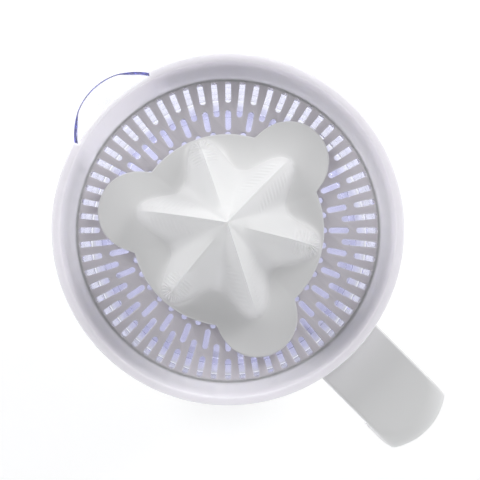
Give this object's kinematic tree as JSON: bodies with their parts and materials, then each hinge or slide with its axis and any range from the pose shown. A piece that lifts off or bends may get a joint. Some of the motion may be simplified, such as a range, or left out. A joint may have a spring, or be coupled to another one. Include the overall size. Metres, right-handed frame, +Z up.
{
  "type": "electric citrus juicer",
  "caption": "Electric citrus juicer: ridged reamer cone over a slotted strainer, on a clear jug with pouring lip and handle that stands on a round motor base.",
  "frame": {"origin": "on the table, under the middle of the part's length from pouring lip to handle; the cone's axis stands 21.5 mm to the -X side", "axes": "+X towards the handle, -X towards the pouring lip, +Z up along the cone's axis"},
  "size_m": [0.225, 0.165, 0.204],
  "materials": {
    "white_plastic": "moulded, satin gloss",
    "grey_plastic": "moulded, fine matt",
    "clear_blue_plastic": "clear, blue tint",
    "rubber": "matt",
    "steel": "zinc plated",
    "core_steel": "stacked laminations",
    "ferrite": "sintered",
    "bronze": "sintered, oiled",
    "copper": "enamelled wire",
    "gear_plastic": "natural acetal",
    "black_plastic": "moulded"
  },
  "bodies": {
    "base": {"upper_housing": "white_plastic", "bottom_plate": "grey_plastic", "rubber_feet": "rubber", "housing_screws": "steel", "cord_gland": "rubber", "gear_plate": "grey_plastic", "plate_screws": "steel", "stator_core": "core_steel", "coil_bobbins": "gear_plastic", "coil_windings": "copper", "rotor_bracket": "steel", "rotor_bushes": "bronze", "motor_screws": "steel", "idler_pin": "steel", "lower_bush": "bronze", "upper_bush": "bronze", "shaft_seal": "rubber", "return_spring": "steel", "switch_body": "black_plastic", "switch_terminals": "bronze"},
    "rotor": {"rotor_magnet": "ferrite", "rotor_shaft": "steel", "rotor_pinion": "gear_plastic"},
    "idler": {"idler_gear": "gear_plastic"},
    "thrust": {"thrust_cup": "gear_plastic"},
    "shaft": {"output_shaft": "steel", "output_gear": "gear_plastic"},
    "switch": {"switch_plunger": "black_plastic"},
    "axle": {"drive_axle": "grey_plastic"},
    "cone": {"pressing_cone": "white_plastic"},
    "jug": {"jug": "clear_blue_plastic", "jug_handle": "white_plastic", "handle_screws": "steel"},
    "strainer": {"strainer_rim": "white_plastic", "strainer_disc": "white_plastic"}
  },
  "joints": [
    {"name": "cone_press", "type": "slide", "parent": "base", "child": "thrust", "axis": [0, 0, 1], "range_m": [-0.0025, 0], "stiffness_N_per_m": 3000, "springref_m": 0.004, "deforming": ["return_spring"]},
    {"name": "shaft_spin", "type": "hinge", "parent": "thrust", "child": "shaft", "pos_m": [-0.0215, 0, 0.0625], "axis": [0, 0, 1], "continuous": true},
    {"name": "axle_lift", "type": "slide", "parent": "shaft", "child": "axle", "axis": [0, 0, 1], "range_m": [0, 0.08]},
    {"name": "cone_lift", "type": "slide", "parent": "axle", "child": "cone", "axis": [0, 0, 1], "range_m": [0, 0.06]},
    {"name": "jug_lift", "type": "slide", "parent": "base", "child": "jug", "axis": [0, 0, 1], "range_m": [0, 0.08]},
    {"name": "strainer_lift", "type": "slide", "parent": "jug", "child": "strainer", "axis": [0, 0, 1], "range_m": [0, 0.06]},
    {"name": "idler_spin", "type": "hinge", "parent": "base", "child": "idler", "pos_m": [-0.03853, 0.02433, 0.058], "axis": [0, 0, 1], "continuous": true},
    {"name": "rotor_spin", "type": "hinge", "parent": "base", "child": "rotor", "pos_m": [-0.0575, 0.014, 0.029], "axis": [0, 0, 1], "continuous": true},
    {"name": "switch_press", "type": "slide", "parent": "base", "child": "switch", "axis": [0, 0, 1], "range_m": [-0.0025, 0]}
  ],
  "couplings": [
    {"joint": "axle_lift", "follows": "jug_lift", "ratio": 1},
    {"joint": "cone_lift", "follows": "strainer_lift", "ratio": 1},
    {"joint": "idler_spin", "follows": "shaft_spin", "ratio": -4.5},
    {"joint": "rotor_spin", "follows": "shaft_spin", "ratio": 22.5},
    {"joint": "switch_press", "follows": "cone_press", "ratio": 1}
  ]
}
